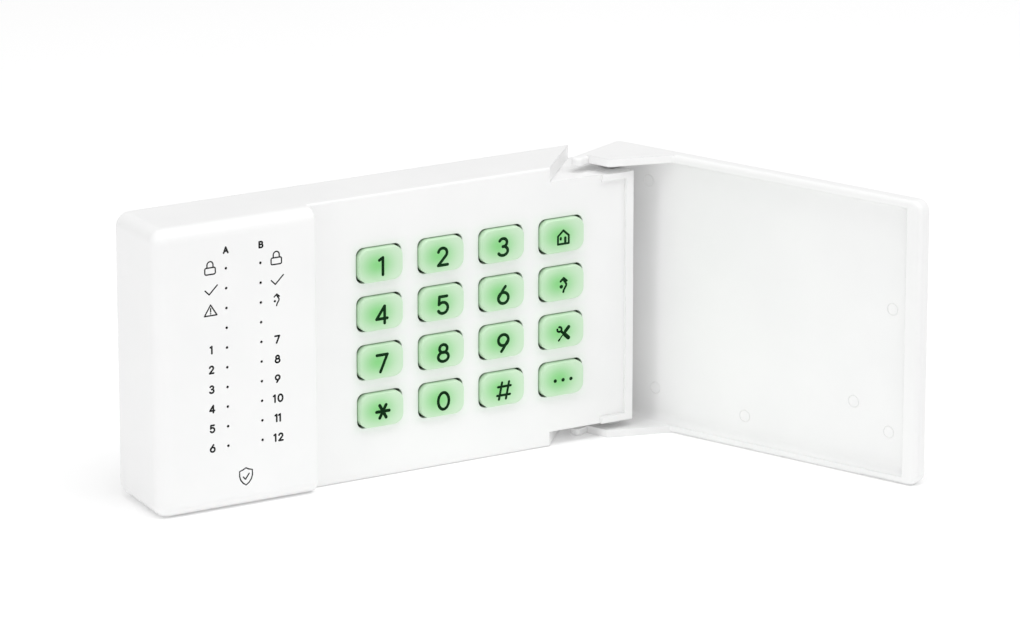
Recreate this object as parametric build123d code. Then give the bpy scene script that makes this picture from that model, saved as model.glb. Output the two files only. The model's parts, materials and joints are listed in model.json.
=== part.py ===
from build123d import *
import os
from math import atan2, cos, degrees

# Alarm keypad panel for a wall, with a side-hinged door over its keys.
#
# Frame, in millimetres: the origin is on the wall face, at the centre of the closed
# panel's back. +X is to the right, +Y runs into the wall and +Z is up. Everything
# stands in front of the wall, so most depths are written as a distance forward of
# it, and a point at that distance has y = -distance.

# ---------------------------------------------------------------- driving dimensions

# Overall size of the closed panel
case_length = 137.7
case_height = 73.0
case_depth = 22.0
back_inset = 0.5            # how far each side leans in from front to back
corner_radius = 3.6         # corners at the indicator end, seen from the front
front_radius = 3.4          # rounded front edge of the indicator block
wall = 2.0

# Indicator block and the lower keypad deck beside it
block_length = 43.8
block_edge_radius = 0.8
deck_step = 4.4
deck_edge_radius = 0.6

# Narrowed hinge end, with a slanting wall at the top and bottom
notch_from_end = 26.1       # front corner of the slanting wall, from the right end
notch_run = 15.4            # how far that wall slants over the deck's full depth
notch_height = 3.9
lip_width = 2.2
lip_height = 0.8
lip_return = 9.0
lip_return_width = 1.8

# Door
door_gap = 0.25             # between the closed door and the block, and at the hinge end
door_wall = 1.8
door_rim_width = 2.0        # top and bottom rims
door_end_width = 4.3        # rim at the free end
door_rim_clearance = 0.3    # between a rim's edge and the deck
door_corner_radius = 3.0
door_edge_radius = 0.8
door_rim_radius = 1.1       # outer edge of the rims, towards the deck
door_fillet = 1.6           # inside, where the rims meet the panel
door_knuckle_radius = 2.0   # outer upright corner at the hinge end
wing_tip_distance = 5.2     # back edge of the wings, forward of the wall
wing_tip_length = 9.3
wing_toe_distance = 1.2     # the wings' outer toes reach further back than that edge
wing_toe_width = 3.0
wing_root_length = 19.5
wing_tip_radius = 1.2
grip_length = 16.5          # shallow finger recess under the free end
grip_depth = 0.5
door_rest_angle = 114.0     # how far open the door stands at rest
hinge_from_end = 5.1
hinge_distance = 12.0
peg_radius = 1.5
peg_length = 3.4
peg_clearance = 0.05
peg_shoulder = 1.1          # how far the shoulder stands out round the peg
hinge_boss_wall = 1.15      # plastic round the housing's bore
hinge_boss_floor = 0.9      # plastic below the end of the bore
hinge_side_gap = 0.3

# Keys
key_columns = 4
key_rows = 4
key_width = 12.2
key_height = 8.65
key_spacing_x = 4.96
key_spacing_z = 3.8
key_field_from_block = 45.16    # middle of the key field, from the step
key_corner_radius = 2.7
key_edge_radius = 0.45
key_proud = 1.4
key_gap = 0.22
key_hole_corner_radius = 1.9
key_flange = 1.0
key_flange_thickness = 0.95
key_travel = 1.0
key_top_clearance = 0.15
key_names = [
    "key_1", "key_2", "key_3", "key_home",
    "key_4", "key_5", "key_6", "key_bypass",
    "key_7", "key_8", "key_9", "key_setup",
    "key_star", "key_0", "key_hash", "key_menu",
]

# Indicator lamps
lamp_rows = 10
lamp_pitch = 5.0
lamp_column_spacing = 9.35
lamp_centre_x = 23.75       # middle of the two columns, from the left end
lamp_top_z = 24.98
lamp_hole_radius = 0.35
lamp_well_radius = 1.5
baffle_margin = 2.3
baffle_clearance = 0.05

# Circuit board and rubber mat
board_thickness = 1.6
board_clearance = 1.5       # between the board's edges and the housing
mat_base = 0.8
dome_floor = 0.65           # left under the dome's tip when its key is fully pressed
dome_base_radius = 3.6
dome_top_radius = 2.3
dome_clearance = 0.05
mat_margin = 1.6
mat_boss_clearance = 0.3
chip_lamp_length = 1.6
chip_lamp_width = 0.8
chip_lamp_height = 0.6
chip_lamp_lens_inset = 0.12
backlight_offset = -4.9     # backlight lamp, sideways of its key's middle
backlight_window = 0.5

# Board screws
screw_core_radius = 1.0
screw_head_radius = 2.3
screw_head_height = 1.4
screw_length = 6.0
screw_clearance = 0.05
screw_slot_width = 0.7
screw_boss_radius = 2.4
board_screw_hole_radius = 1.3
board_screw_inset_x = 3.4
board_screw_inset_z = 2.6

# Wall plate
plate_thickness = 2.0
plate_clearance = 0.3
wall_screw_spacing_x = 100.0
wall_screw_spacing_z = 44.0
wall_screw_hole_radius = 2.1
cable_window_x = -20.0
cable_window_z = 7.0
cable_window_length = 28.0
cable_window_height = 15.0
hook_spacing = 70.0
hook_width = 8.0
hook_thickness = 1.6
hook_reach = 6.0
hook_nose = 0.8
hook_nose_length = 1.5
hook_clearance = 0.2

# Cover screw, up through the lower side into the wall plate
cover_screw_distance = 4.6
cover_screw_radius = 1.25
cover_screw_length = 7.0
cover_head_radius = 2.2
cover_head_height = 0.9
cover_boss_length = 9.0
cover_boss_height = 5.5
cover_boss_reach = 7.4

# Terminal block for the wiring
terminal_count = 6
terminal_pitch = 3.81
terminal_height = 8.0
terminal_reach = 7.6
terminal_x = -20.0
terminal_z = -6.2
terminal_screw_radius = 1.2
terminal_screw_sink = 0.6
terminal_slot_width = 0.5
terminal_entry = 2.2
terminal_clamp = 1.9
terminal_clamp_length = 3.0
terminal_clamp_sheet = 0.32

# Sounder, tamper switch and the other board parts
buzzer_radius = 6.0
buzzer_reach = 5.6
buzzer_vent_radius = 1.0
buzzer_vent_depth = 1.2
buzzer_x = -50.0
buzzer_z = 4.0
tamper_x = 30.0
tamper_z = -20.0
tamper_body = 6.4
tamper_body_reach = 3.2
plunger_radius = 1.3
plunger_clearance = 0.05
plunger_engagement = 2.0
plunger_travel = 1.0
plunger_collar_radius = 2.6
plunger_collar_distance = 3.2
plunger_collar_thickness = 0.8
plunger_hole_radius = 2.0
spring_wire_radius = 0.2
spring_coil_radius = 1.9
spring_turns = 4.0
chip_size = 10.0
chip_thickness = 1.4
chip_lead_count = 11
chip_lead_width = 0.4
chip_lead_pitch = 0.8
chip_lead_length = 1.0
chip_lead_thickness = 0.35
chip_x = 12.0
chip_z = 10.0
regulator_length = 6.5
regulator_width = 3.5
regulator_thickness = 1.6
regulator_tab_length = 3.0
regulator_tab_width = 1.6
regulator_tab_thickness = 0.4
regulator_x = 2.0
regulator_z = -20.0
capacitor_radius = 3.1
capacitor_reach = 5.6
capacitor_base = 6.6
capacitor_base_thickness = 0.6
capacitor_spacing = 8.5
capacitor_x = 11.5
capacitor_z = -21.0
header_pins = 3
header_pitch = 2.54
header_base_height = 2.5
header_pin_width = 0.64
header_pin_reach = 6.2
header_x = 32.0
header_z = 4.0
jumper_height = 4.6
jumper_lift = 0.2

# ------------------------------------------------------------- dimensions that follow

left_end = -case_length / 2
right_end = case_length / 2
half_height = case_height / 2
back_half_height = half_height - back_inset
deck_level = case_depth - deck_step
deck_inside = deck_level - wall
block_inside = case_depth - wall
block_end = left_end + block_length
body_end = right_end - door_wall - 2 * door_gap
narrow_half_height = half_height - notch_height
notch_front = right_end - notch_from_end
notch_angle = atan2(notch_run, deck_level)
notch_wall = wall / cos(notch_angle)
cavity_left = left_end + back_inset + wall
cavity_half_height = back_half_height - wall
narrow_cavity_half_height = narrow_half_height - wall
cavity_end = body_end - wall
hinge_x = right_end - hinge_from_end
peg_boss_radius = peg_radius + peg_shoulder
hinge_bore_radius = peg_radius + peg_clearance
hinge_boss_radius = hinge_bore_radius + hinge_boss_wall
door_left = block_end + door_gap
door_inside = case_depth - door_wall
rim_edge = deck_level + door_rim_clearance
wing_inner_z = half_height - door_rim_width
key_flange_front = deck_inside - key_top_clearance
key_flange_back = key_flange_front - key_flange_thickness
key_pitch_x = key_width + key_spacing_x
key_pitch_z = key_height + key_spacing_z
key_field_x = block_end + key_field_from_block
dome_tip = key_flange_back - dome_clearance
dome_height = mat_base + dome_floor + key_travel
board_front = dome_tip - dome_height
board_back = board_front - board_thickness
board_left = cavity_left + board_clearance
board_right = hinge_x - hinge_boss_radius - board_clearance
board_half_height = narrow_cavity_half_height - board_clearance
board_screw_z = board_half_height - board_screw_inset_z
lamp_bottom_z = lamp_top_z - (lamp_rows - 1) * lamp_pitch
parts_folder = "parts"


# --------------------------------------------------------------------------- helpers

def notch_x(distance):
    """Where the slanting wall stands at a distance forward of the wall face."""
    return notch_front + (deck_level - distance) / deck_level * notch_run


def bounds_box(x_low, x_high, near, far, z_low, z_high):
    """Box between two x limits, two distances forward of the wall, and two z limits."""
    size = Box(x_high - x_low, far - near, z_high - z_low)
    return Pos((x_low + x_high) / 2, -(near + far) / 2, (z_low + z_high) / 2) * size


def forward(sketch, near, far, draft=0.0):
    """Extrude a front-view sketch between two distances forward of the wall."""
    return extrude(Plane.XZ.offset(near) * sketch, amount=far - near, taper=draft)


def disc(x, z, radius):
    """Front-view circle."""
    return Pos(x, z) * Circle(radius)


def rounded(x, z, width, height, radius):
    """Front-view rectangle with rounded corners."""
    return Pos(x, z) * RectangleRounded(width, height, radius)


def rod(x, z, radius, near, far):
    """Round bar that runs forward from the wall."""
    return forward(disc(x, z, radius), near, far)


def plan_prism(points, z_low, z_high):
    """Prism with a plan outline of (x, distance) points, between two heights."""
    outline = make_face(Polyline([(x, -distance) for x, distance in points], close=True))
    return extrude(Pos(0, 0, z_low) * outline, amount=z_high - z_low)


def post(x, distance, radius, z_low, z_high):
    """Upright round bar."""
    height = z_high - z_low
    return Pos(x, -distance, (z_low + z_high) / 2) * Cylinder(radius, height)


def near_point(shape, x, distance, z, reach):
    """Edges whose middle lies within reach of a point."""
    target = Vector(x, -distance, z)
    return [edge for edge in shape.edges() if (edge.center() - target).length < reach]


def key_places():
    """Name, x and z of every key, row by row from the top left."""
    places = []
    for index, name in enumerate(key_names):
        row, column = divmod(index, key_columns)
        x = key_field_x + (column - (key_columns - 1) / 2) * key_pitch_x
        z = ((key_rows - 1) / 2 - row) * key_pitch_z
        places.append((name, x, z))
    return places


def lamp_places():
    """x and z of every indicator lamp."""
    places = []
    for side in (-1, 1):
        for row in range(lamp_rows):
            x = left_end + lamp_centre_x + side * lamp_column_spacing / 2
            places.append((x, lamp_top_z - row * lamp_pitch))
    return places


def board_screw_places():
    """x, z and boss length of every screw that holds the board."""
    places = []
    for side in (-1, 1):
        places.append((board_left + board_screw_inset_x, side * board_screw_z, block_inside))
        places.append((board_right - board_screw_inset_x, side * board_screw_z, deck_inside))
    return places


def wall_screw_places():
    """x and z of the wall screws."""
    return [
        (side * wall_screw_spacing_x / 2, level * wall_screw_spacing_z / 2)
        for side in (-1, 1)
        for level in (-1, 1)
    ]


def joined(pieces):
    """Fuse a list of shapes into one."""
    whole = pieces[0]
    for piece in pieces[1:]:
        whole = whole + piece
    return whole


def drilled(whole, pieces):
    """Cut each piece out of a shape."""
    for piece in pieces:
        whole = whole - piece
    return whole


# ----------------------------------------------------------------------- front housing

def tapered_body(x_high, depth):
    """Rounded outline that leans in towards the wall, from the left end to x_high."""
    draft = degrees(atan2(back_inset, case_depth))
    length = x_high - left_end - 2 * back_inset
    outline = Pos((left_end + x_high) / 2, 0) * Rectangle(length, 2 * back_half_height)
    body = forward(outline, 0, depth, -draft)
    for side in (-1, 1):
        corner = near_point(body, left_end, depth / 2, side * half_height, corner_radius)
        body = fillet(corner, corner_radius)
    return body


def block_outside():
    """Indicator block, with its front edges rounded."""
    body = tapered_body(block_end + case_depth, case_depth)
    body = body - bounds_box(block_end, case_length, -wall, case_depth + wall,
                             -case_height, case_height)
    front = body.faces().sort_by(Axis.Y)[0]
    outer_edges = front.edges().sort_by(Axis.X)[:-1]
    body = fillet(outer_edges, front_radius)
    front = body.faces().sort_by(Axis.Y)[0]
    return fillet(front.edges().sort_by(Axis.X)[-1], block_edge_radius)


def deck_outside():
    """Keypad deck, with its long front edges broken and its hinge end narrowed."""
    body = tapered_body(body_end, deck_level)
    edges = []
    for side in (-1, 1):
        edges += near_point(body, (left_end + body_end) / 2, deck_level,
                            side * half_height, 2 * corner_radius)
    body = fillet(edges, deck_edge_radius)
    beyond = case_length
    for side in (-1, 1):
        low, high = sorted((side * narrow_half_height, side * case_height))
        points = [
            (notch_x(-wall), -wall),
            (notch_x(case_depth), case_depth),
            (beyond, case_depth),
            (beyond, -wall),
        ]
        body = body - plan_prism(points, low, high)
    return body


def housing_outside():
    """Outside of the front housing."""
    return deck_outside() + block_outside()


def housing_cavity():
    """Room inside the front housing, open at the back."""
    main = plan_prism(
        [
            (cavity_left, 0),
            (notch_x(0) - notch_wall, 0),
            (notch_x(deck_inside) - notch_wall, deck_inside),
            (cavity_left, deck_inside),
        ],
        -cavity_half_height,
        cavity_half_height,
    )
    narrow = bounds_box(
        cavity_left, cavity_end, 0, deck_inside,
        -narrow_cavity_half_height, narrow_cavity_half_height,
    )
    under_block = bounds_box(
        cavity_left, block_end - wall, 0, block_inside, -cavity_half_height, cavity_half_height,
    )
    return joined([main, narrow, under_block])


def deck_lip():
    """Low raised edge round the hinge end of the deck."""
    top = deck_level + lip_height
    pieces = [
        bounds_box(body_end - lip_width, body_end, deck_level, top,
                   -narrow_half_height, narrow_half_height),
    ]
    for side in (-1, 1):
        low, high = sorted((side * narrow_half_height,
                            side * (narrow_half_height - lip_return_width)))
        pieces.append(bounds_box(body_end - lip_return, body_end, deck_level, top, low, high))
    return joined(pieces)


def key_hole(x, z):
    """Opening in the deck for one key."""
    outline = rounded(x, z, key_width + 2 * key_gap, key_height + 2 * key_gap,
                      key_hole_corner_radius)
    return forward(outline, deck_inside - wall, deck_level + wall)


def hinge_bore(side):
    """Bore for the door's peg, from outside the narrowed end."""
    low, high = sorted((side * (narrow_half_height + wall),
                        side * (narrow_half_height - peg_length - hinge_side_gap)))
    return post(hinge_x, hinge_distance, hinge_bore_radius, low, high)


def hinge_boss(side):
    """Thick round of plastic behind the bore."""
    depth = peg_length + hinge_side_gap + hinge_boss_floor
    low, high = sorted((side * narrow_half_height, side * (narrow_half_height - depth)))
    return post(hinge_x, hinge_distance, hinge_boss_radius, low, high)


def hook_places():
    """Middle of each snap hook along the top."""
    return (-hook_spacing / 2, hook_spacing / 2)


def hook_pocket(x):
    """Pocket in the upper wall that a hook's nose springs into."""
    near = hook_reach - hook_nose_length - hook_clearance
    high = cavity_half_height + hook_nose + hook_clearance - plate_clearance
    return bounds_box(
        x - hook_width / 2 - hook_clearance, x + hook_width / 2 + hook_clearance,
        near, hook_reach + hook_clearance, cavity_half_height - wall, high,
    )


def cover_screw_seat():
    """Hole and head recess in the lower wall for the cover screw."""
    low = -half_height - wall
    hole = post(0, cover_screw_distance, cover_screw_radius + screw_clearance,
                low, -cavity_half_height + wall)
    recess_floor = -back_half_height + cover_head_height + screw_clearance
    recess = post(0, cover_screw_distance, cover_head_radius + hook_clearance, low, recess_floor)
    return hole + recess


def front_housing():
    """One-piece front of the panel."""
    shell = housing_outside() - housing_cavity()
    bosses = [forward(disc(x, z, screw_boss_radius), board_front, top)
              for x, z, top in board_screw_places()]
    shell = joined([shell, deck_lip(), hinge_boss(1), hinge_boss(-1)] + bosses)
    cuts = [key_hole(x, z) for name, x, z in key_places()]
    cuts += [rod(x, z, lamp_hole_radius, block_inside - wall, case_depth + wall)
             for x, z in lamp_places()]
    cuts += [rod(x, z, screw_core_radius + screw_clearance, board_front - wall,
                 board_back + screw_length + screw_clearance)
             for x, z, top in board_screw_places()]
    cuts += [hook_pocket(x) for x in hook_places()]
    cuts += [hinge_bore(1), hinge_bore(-1), cover_screw_seat()]
    return drilled(shell, cuts)


# -------------------------------------------------------------------------- wall plate

def snap_hook(x):
    """Springy tab that holds the top of the housing."""
    top = cavity_half_height - plate_clearance
    low_x = x - hook_width / 2
    high_x = x + hook_width / 2
    tab = bounds_box(low_x, high_x, 0, hook_reach, top - hook_thickness, top)
    nose = bounds_box(low_x, high_x, hook_reach - hook_nose_length, hook_reach,
                      top - hook_thickness, top + hook_nose)
    return tab + nose


def wall_plate():
    """Flat plate that is screwed to the wall and carries the housing."""
    wide_end = notch_x(plate_thickness) - notch_wall - plate_clearance
    wide = bounds_box(
        cavity_left + plate_clearance, wide_end, 0, plate_thickness,
        -cavity_half_height + plate_clearance, cavity_half_height - plate_clearance,
    )
    narrow = bounds_box(
        cavity_left + plate_clearance, cavity_end - plate_clearance, 0, plate_thickness,
        -narrow_cavity_half_height + plate_clearance, narrow_cavity_half_height - plate_clearance,
    )
    low = -cavity_half_height + plate_clearance
    boss = bounds_box(-cover_boss_length / 2, cover_boss_length / 2, 0, cover_boss_reach,
                      low, low + cover_boss_height)
    plate = joined([wide, narrow, boss] + [snap_hook(x) for x in hook_places()])
    through = plate_thickness + wall
    cuts = [rod(x, z, wall_screw_hole_radius, -wall, through) for x, z in wall_screw_places()]
    cuts.append(rod(tamper_x, tamper_z, plunger_hole_radius, -wall, through))
    window = rounded(cable_window_x, cable_window_z, cable_window_length, cable_window_height,
                     wall)
    cuts.append(forward(window, -wall, through))
    cuts.append(post(0, cover_screw_distance, cover_screw_radius + screw_clearance,
                     low - wall, low + cover_boss_height + wall))
    return drilled(plate, cuts)


# -------------------------------------------------------------------------------- door

def wing_points():
    """Plan outline of a wing, from the panel round to the hinge end."""
    return [
        (right_end, case_depth),
        (right_end, wing_toe_distance),
        (right_end - wing_toe_width, wing_toe_distance),
        (right_end - wing_toe_width, wing_tip_distance),
        (right_end - wing_tip_length, wing_tip_distance),
        (right_end - wing_root_length, rim_edge),
        (right_end - wing_root_length, case_depth),
    ]


def wing(side):
    """Side plate of the door that reaches back to its hinge peg."""
    low, high = sorted((side * wing_inner_z, side * half_height))
    plate = plan_prism(wing_points(), low, high)
    middle = (low + high) / 2
    tips = near_point(plate, right_end, wing_toe_distance, middle, door_wall)
    tips += near_point(plate, right_end - wing_toe_width, wing_toe_distance, middle, door_wall)
    tips += near_point(plate, right_end - wing_tip_length, wing_tip_distance, middle, door_wall)
    return fillet(tips, wing_tip_radius)


def door_peg(side):
    """Shoulder and peg that turn in the housing's bore."""
    shoulder_end = side * (narrow_half_height + hinge_side_gap)
    peg_end = side * (narrow_half_height - peg_length)
    low, high = sorted((shoulder_end, side * half_height))
    shoulder = post(hinge_x, hinge_distance, peg_boss_radius, low, high)
    low, high = sorted((peg_end, side * wing_inner_z))
    return shoulder + post(hinge_x, hinge_distance, peg_radius, low, high)


def door_tray():
    """Door panel with its rim, hollow towards the keys."""
    panel = bounds_box(door_left, right_end, rim_edge, case_depth, -half_height, half_height)
    hollow = bounds_box(
        door_left + door_end_width, right_end - door_wall, rim_edge - wall, door_inside,
        -wing_inner_z, wing_inner_z,
    )
    floor_edges = hollow.faces().sort_by(Axis.Y)[0].edges()
    return panel - fillet(floor_edges, door_fillet)


def closed_door():
    """The door as it lies when it is shut."""
    door = joined([door_tray(), wing(1), wing(-1)])
    for side in (-1, 1):
        corner = near_point(door, door_left, (rim_edge + case_depth) / 2,
                            side * half_height, door_rim_width)
        door = fillet(corner, door_corner_radius)
    knuckle = near_point(door, right_end, case_depth, 0, door_wall)
    door = fillet(knuckle, door_knuckle_radius)
    front = door.faces().sort_by(Axis.Y)[0]
    door = fillet(front.edges(), door_edge_radius)
    door = fillet(near_point(door, door_left, rim_edge, 0, door_wall), door_rim_radius)
    grip = bounds_box(door_left - wall, door_left + grip_length, rim_edge - wall,
                      door_inside - door_fillet, -half_height - wall, -half_height + grip_depth)
    door = door - grip
    return joined([door, door_peg(1), door_peg(-1)])


def swung(shape, angle):
    """Turn a shape about the hinge axis."""
    to_hinge = Pos(hinge_x, -hinge_distance, 0)
    return to_hinge * Rot(0, 0, angle) * to_hinge.inverse() * shape


def door():
    """The door, standing open."""
    return swung(closed_door(), door_rest_angle)


# -------------------------------------------------------------------------------- keys

def key(x, z):
    """Key cap with the flange that keeps it under the deck."""
    cap = forward(rounded(x, z, key_width, key_height, key_corner_radius),
                  key_flange_back, deck_level + key_proud)
    top = cap.faces().sort_by(Axis.Y)[0]
    cap = fillet(top.edges(), key_edge_radius)
    flange = forward(
        rounded(x, z, key_width + 2 * key_flange, key_height + 2 * key_flange,
                key_corner_radius),
        key_flange_back, key_flange_front,
    )
    return cap + flange


def keypad_mat():
    """Rubber mat with a dome under every key and a window for every backlight."""
    half_x = (key_columns - 1) / 2 * key_pitch_x + key_width / 2 + mat_margin
    half_z = (key_rows - 1) / 2 * key_pitch_z + key_height / 2 + mat_margin / 2
    mat = forward(rounded(key_field_x, 0, 2 * half_x, 2 * half_z, mat_margin),
                  board_front, board_front + mat_base)
    for name, x, z in key_places():
        dome = Pos(x, -board_front - dome_height / 2, z) * Rot(90, 0, 0) * Cone(
            dome_base_radius, dome_top_radius, dome_height)
        window = rounded(
            x + backlight_offset, z, chip_lamp_width + 2 * backlight_window,
            chip_lamp_length + 2 * backlight_window, backlight_window / 2)
        mat = mat + dome
        mat = mat - forward(window, board_front - wall, board_front + mat_base + wall)
    clear_of_bosses = [rod(x, z, screw_boss_radius + mat_boss_clearance, board_front - wall,
                           board_front + mat_base + wall)
                       for x, z, top in board_screw_places()]
    return drilled(mat, clear_of_bosses)


# ------------------------------------------------------------------- board and lamps

def main_board():
    """Circuit board that carries the mat, the lamps and the wiring terminals."""
    board = bounds_box(board_left, board_right, board_back, board_front,
                       -board_half_height, board_half_height)
    cuts = [rod(x, z, board_screw_hole_radius, board_back - wall, board_front + wall)
            for x, z, top in board_screw_places()]
    return drilled(board, cuts)


def lamp_chip(x, z, width, height):
    """Small lamp on the front of the board."""
    body = forward(Pos(x, z) * Rectangle(width, height), board_front,
                   board_front + chip_lamp_height / 2)
    lens = forward(Pos(x, z) * Rectangle(width - 2 * chip_lamp_lens_inset,
                                         height - 2 * chip_lamp_lens_inset),
                   board_front, board_front + chip_lamp_height)
    return body + lens


def indicator_lamps():
    """The lamps behind the pinholes in the block."""
    return Compound([lamp_chip(x, z, chip_lamp_length, chip_lamp_width)
                     for x, z in lamp_places()])


def backlight_lamps():
    """One lamp beside every key's dome."""
    return Compound([lamp_chip(x + backlight_offset, z, chip_lamp_width, chip_lamp_length)
                     for name, x, z in key_places()])


def lamp_baffle():
    """Black block that keeps each lamp's light to its own pinhole."""
    width = lamp_column_spacing + 2 * baffle_margin
    height = lamp_top_z - lamp_bottom_z + 2 * baffle_margin
    outline = Pos(left_end + lamp_centre_x, (lamp_top_z + lamp_bottom_z) / 2) * Rectangle(
        width, height)
    block = forward(outline, board_front, block_inside - baffle_clearance)
    wells = [rod(x, z, lamp_well_radius, board_front - wall, case_depth)
             for x, z in lamp_places()]
    return drilled(block, wells)


def board_screws():
    """Screws that hold the board to the housing's bosses."""
    screws = []
    for x, z, top in board_screw_places():
        head = rod(x, z, screw_head_radius, board_back - screw_head_height, board_back)
        shank = rod(x, z, screw_core_radius, board_back, board_back + screw_length)
        slot = bounds_box(
            x - screw_head_radius, x + screw_head_radius, 0,
            board_back - screw_head_height / 2, z - screw_slot_width / 2,
            z + screw_slot_width / 2,
        )
        screws.append(head + shank - slot)
    return Compound(screws)


def cover_screw():
    """Screw that locks the housing to the wall plate from below."""
    head_low = -back_half_height
    head = post(0, cover_screw_distance, cover_head_radius, head_low,
                head_low + cover_head_height)
    shank = post(0, cover_screw_distance, cover_screw_radius, head_low,
                 head_low + cover_head_height + cover_screw_length)
    slot = bounds_box(
        -cover_head_radius, cover_head_radius, cover_screw_distance - screw_slot_width / 2,
        cover_screw_distance + screw_slot_width / 2, head_low - wall,
        head_low + cover_head_height / 2,
    )
    return head + shank - slot


# -------------------------------------------------------------------- wiring terminals

def terminal_places():
    """x of every terminal."""
    return [terminal_x + (index - (terminal_count - 1) / 2) * terminal_pitch
            for index in range(terminal_count)]


def terminal_block():
    """Insulating body of the terminals, with a screw hole and a wire entry for each."""
    back = board_back - terminal_reach
    body = bounds_box(
        terminal_x - terminal_count * terminal_pitch / 2,
        terminal_x + terminal_count * terminal_pitch / 2,
        back, board_back, terminal_z - terminal_height / 2, terminal_z + terminal_height / 2,
    )
    cuts = []
    entry_middle = board_back - terminal_reach / 2
    for x in terminal_places():
        cuts.append(rod(x, terminal_z, terminal_screw_radius + screw_clearance, back - wall,
                        entry_middle))
        cuts.append(bounds_box(
            x - terminal_entry / 2, x + terminal_entry / 2,
            entry_middle - terminal_entry / 2, entry_middle + terminal_entry / 2,
            terminal_z - terminal_height / 4, terminal_z + terminal_height,
        ))
    return drilled(body, cuts)


def terminal_screws():
    """Slotted clamping screws, one to a terminal."""
    back = board_back - terminal_reach + terminal_screw_sink
    tip = board_back - terminal_reach / 2 - terminal_entry / 2
    screws = []
    for x in terminal_places():
        slot = bounds_box(x - terminal_screw_radius, x + terminal_screw_radius, back - wall,
                          back + terminal_screw_sink, terminal_z - terminal_slot_width / 2,
                          terminal_z + terminal_slot_width / 2)
        screws.append(rod(x, terminal_z, terminal_screw_radius, back, tip) - slot)
    return Compound(screws)


def terminal_clamps():
    """Metal cages that the screws pull onto the wires."""
    middle = board_back - terminal_reach / 2
    cages = []
    for x in terminal_places():
        cage = bounds_box(
            x - terminal_clamp / 2, x + terminal_clamp / 2, middle - terminal_clamp / 2,
            middle + terminal_clamp / 2, terminal_z - terminal_clamp_length / 2,
            terminal_z + terminal_clamp_length / 2,
        )
        bore = bounds_box(
            x - terminal_clamp / 2 + terminal_clamp_sheet,
            x + terminal_clamp / 2 - terminal_clamp_sheet,
            middle - terminal_clamp / 2 + terminal_clamp_sheet,
            middle + terminal_clamp / 2 - terminal_clamp_sheet,
            terminal_z - terminal_height, terminal_z + terminal_height,
        )
        cages.append(cage - bore)
    return Compound(cages)


# --------------------------------------------------------------- parts behind the board

def buzzer():
    """Round sounder with its sound hole."""
    back = board_back - buzzer_reach
    can = rod(buzzer_x, buzzer_z, buzzer_radius, back, board_back)
    return can - rod(buzzer_x, buzzer_z, buzzer_vent_radius, back - wall,
                     back + buzzer_vent_depth)


def tamper_switch():
    """Body of the tamper switch, bored for its plunger."""
    near = board_back - tamper_body_reach
    body = forward(Pos(tamper_x, tamper_z) * Rectangle(tamper_body, tamper_body), near,
                   board_back)
    bore_end = near + plunger_engagement + plunger_travel + hook_clearance
    return body - rod(tamper_x, tamper_z, plunger_radius + plunger_clearance, near - wall,
                      bore_end)


def tamper_plunger():
    """Plunger that the wall holds in, with the collar its spring pushes on."""
    near = board_back - tamper_body_reach
    stem = rod(tamper_x, tamper_z, plunger_radius, 0, near + plunger_engagement)
    collar = rod(tamper_x, tamper_z, plunger_collar_radius, plunger_collar_distance,
                 plunger_collar_distance + plunger_collar_thickness)
    return stem + collar


def tamper_spring():
    """Coil spring between the plunger's collar and the switch."""
    near = plunger_collar_distance + plunger_collar_thickness + 2 * spring_wire_radius
    far = board_back - tamper_body_reach - 2 * spring_wire_radius
    path = Helix(pitch=(far - near) / spring_turns, height=far - near,
                 radius=spring_coil_radius)
    section = Plane(origin=path @ 0, z_dir=path % 0) * Circle(spring_wire_radius)
    coil = sweep(section, path=path, is_frenet=True)
    return Pos(tamper_x, -near, tamper_z) * Rot(90, 0, 0) * coil


def microcontroller():
    """Flat square chip with leads on four sides."""
    near = board_back - chip_thickness
    half = chip_size / 2
    chip = forward(Pos(chip_x, chip_z) * Rectangle(chip_size, chip_size), near,
                   board_back)
    leads = []
    for index in range(chip_lead_count):
        along = (index - (chip_lead_count - 1) / 2) * chip_lead_pitch
        low = along - chip_lead_width / 2
        high = along + chip_lead_width / 2
        reach = half + chip_lead_length
        top = board_back - chip_lead_thickness
        leads.append(bounds_box(chip_x - reach, chip_x + reach, top, board_back,
                                chip_z + low, chip_z + high))
        leads.append(bounds_box(chip_x + low, chip_x + high, top, board_back,
                                chip_z - reach, chip_z + reach))
    return joined([chip] + leads)


def voltage_regulator():
    """Power regulator with its cooling tab."""
    body = forward(Pos(regulator_x, regulator_z) * Rectangle(regulator_length, regulator_width),
                   board_back - regulator_thickness, board_back)
    tab_z = regulator_z + regulator_width / 2 + regulator_tab_width / 2
    tab = forward(Pos(regulator_x, tab_z) * Rectangle(regulator_tab_length, regulator_tab_width),
                  board_back - regulator_tab_thickness, board_back)
    return body + tab


def capacitors():
    """Two round smoothing capacitors on square feet."""
    cans = []
    for index in range(2):
        x = capacitor_x + index * capacitor_spacing
        foot = forward(Pos(x, capacitor_z) * Rectangle(capacitor_base, capacitor_base),
                       board_back - capacitor_base_thickness, board_back)
        can = rod(x, capacitor_z, capacitor_radius, board_back - capacitor_reach, board_back)
        cans.append(foot + can)
    return Compound(cans)


def header_pin_x(index):
    """x of a pin in the address header."""
    return header_x + (index - (header_pins - 1) / 2) * header_pitch


def address_header():
    """Row of pins that sets the keypad's address."""
    base = forward(Pos(header_x, header_z) * Rectangle(header_pins * header_pitch, header_pitch),
                   board_back - header_base_height, board_back)
    pins = [forward(Pos(header_pin_x(index), header_z) * Rectangle(header_pin_width,
                                                                  header_pin_width),
                    board_back - header_pin_reach, board_back)
            for index in range(header_pins)]
    return joined([base] + pins)


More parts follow.
